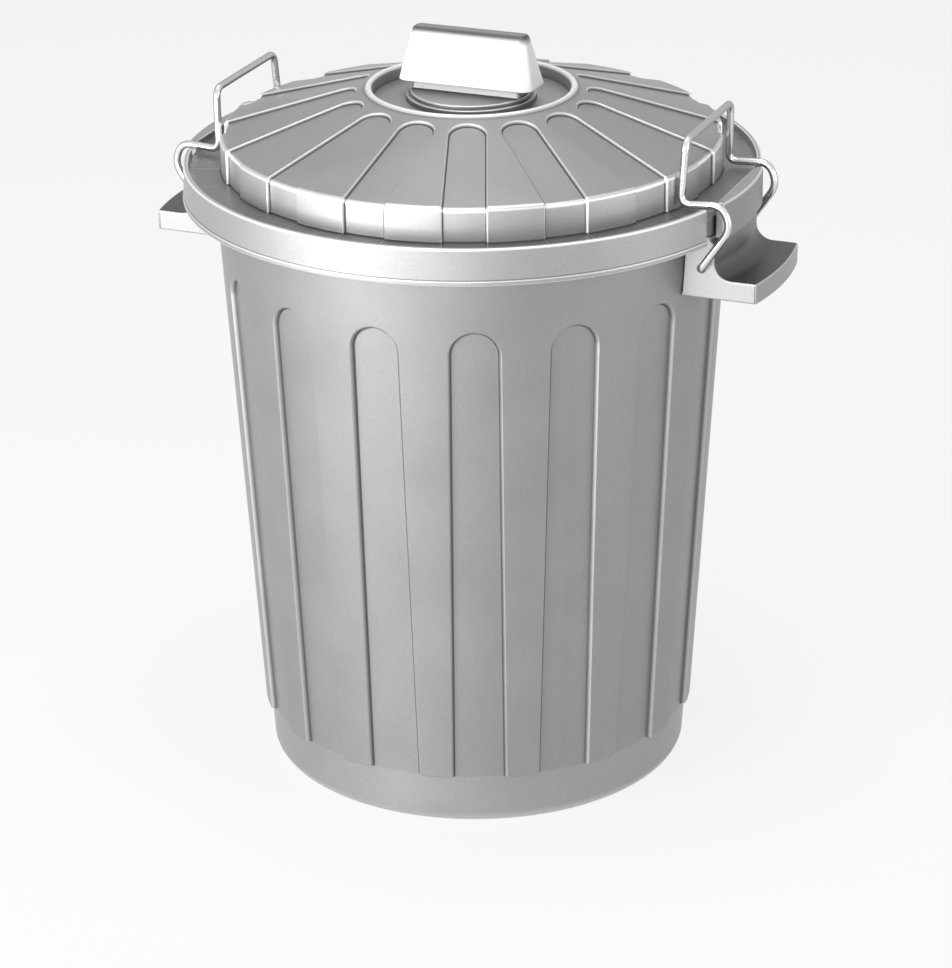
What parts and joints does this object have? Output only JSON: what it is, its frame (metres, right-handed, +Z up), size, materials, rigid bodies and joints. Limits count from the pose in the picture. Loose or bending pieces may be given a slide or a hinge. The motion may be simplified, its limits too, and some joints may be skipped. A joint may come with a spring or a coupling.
{
  "type": "lidded trash can",
  "caption": "Tapered fluted trash can in moulded silver-grey plastic, with a lift-off lid, a lid hand grip, scoop side grips and hinged wire bails that hold the lid.",
  "frame": {"origin": "on the floor under the middle of the tub", "axes": "+Z up; +X through the middle of the right side grip; the picture looks along +Y, turned 22.5 degrees about Z"},
  "size_m": [0.256, 0.2262, 0.3],
  "materials": {
    "tub_plastic": "satin silver-grey, moulded",
    "grip_plastic": "satin silver-grey, moulded",
    "lid_plastic": "satin silver-grey, moulded",
    "hand_grip_plastic": "satin pale silver, moulded",
    "bail_wire": "bright plated steel wire",
    "screw_steel": "plain bright steel"
  },
  "bodies": {
    "tub": {"tub": "tub_plastic", "side_grip_right": "grip_plastic", "side_grip_left": "grip_plastic"},
    "lid": {"lid": "lid_plastic", "lid_grip": "hand_grip_plastic", "grip_screw_left": "screw_steel", "grip_screw_right": "screw_steel"},
    "bail_right": {"bail_right": "bail_wire"},
    "bail_left": {"bail_left": "bail_wire"}
  },
  "joints": [
    {"name": "bail_right_swing", "type": "hinge", "parent": "tub", "child": "bail_right", "pos_m": [0.10349, 0, 0.224], "axis": [0, 1, 0], "range_deg": [0, 165]},
    {"name": "bail_left_swing", "type": "hinge", "parent": "tub", "child": "bail_left", "pos_m": [-0.10349, 0, 0.224], "axis": [0, -1, 0], "range_deg": [0, 165]},
    {"name": "lid_lift", "type": "slide", "parent": "tub", "child": "lid", "axis": [0, 0, 1], "range_m": [0, 0.011]}
  ],
  "couplings": [
    {"joint": "bail_left_swing", "follows": "bail_right_swing", "ratio": 1},
    {"joint": "lid_lift", "follows": "bail_right_swing", "m_per_rad": 0.003819}
  ]
}
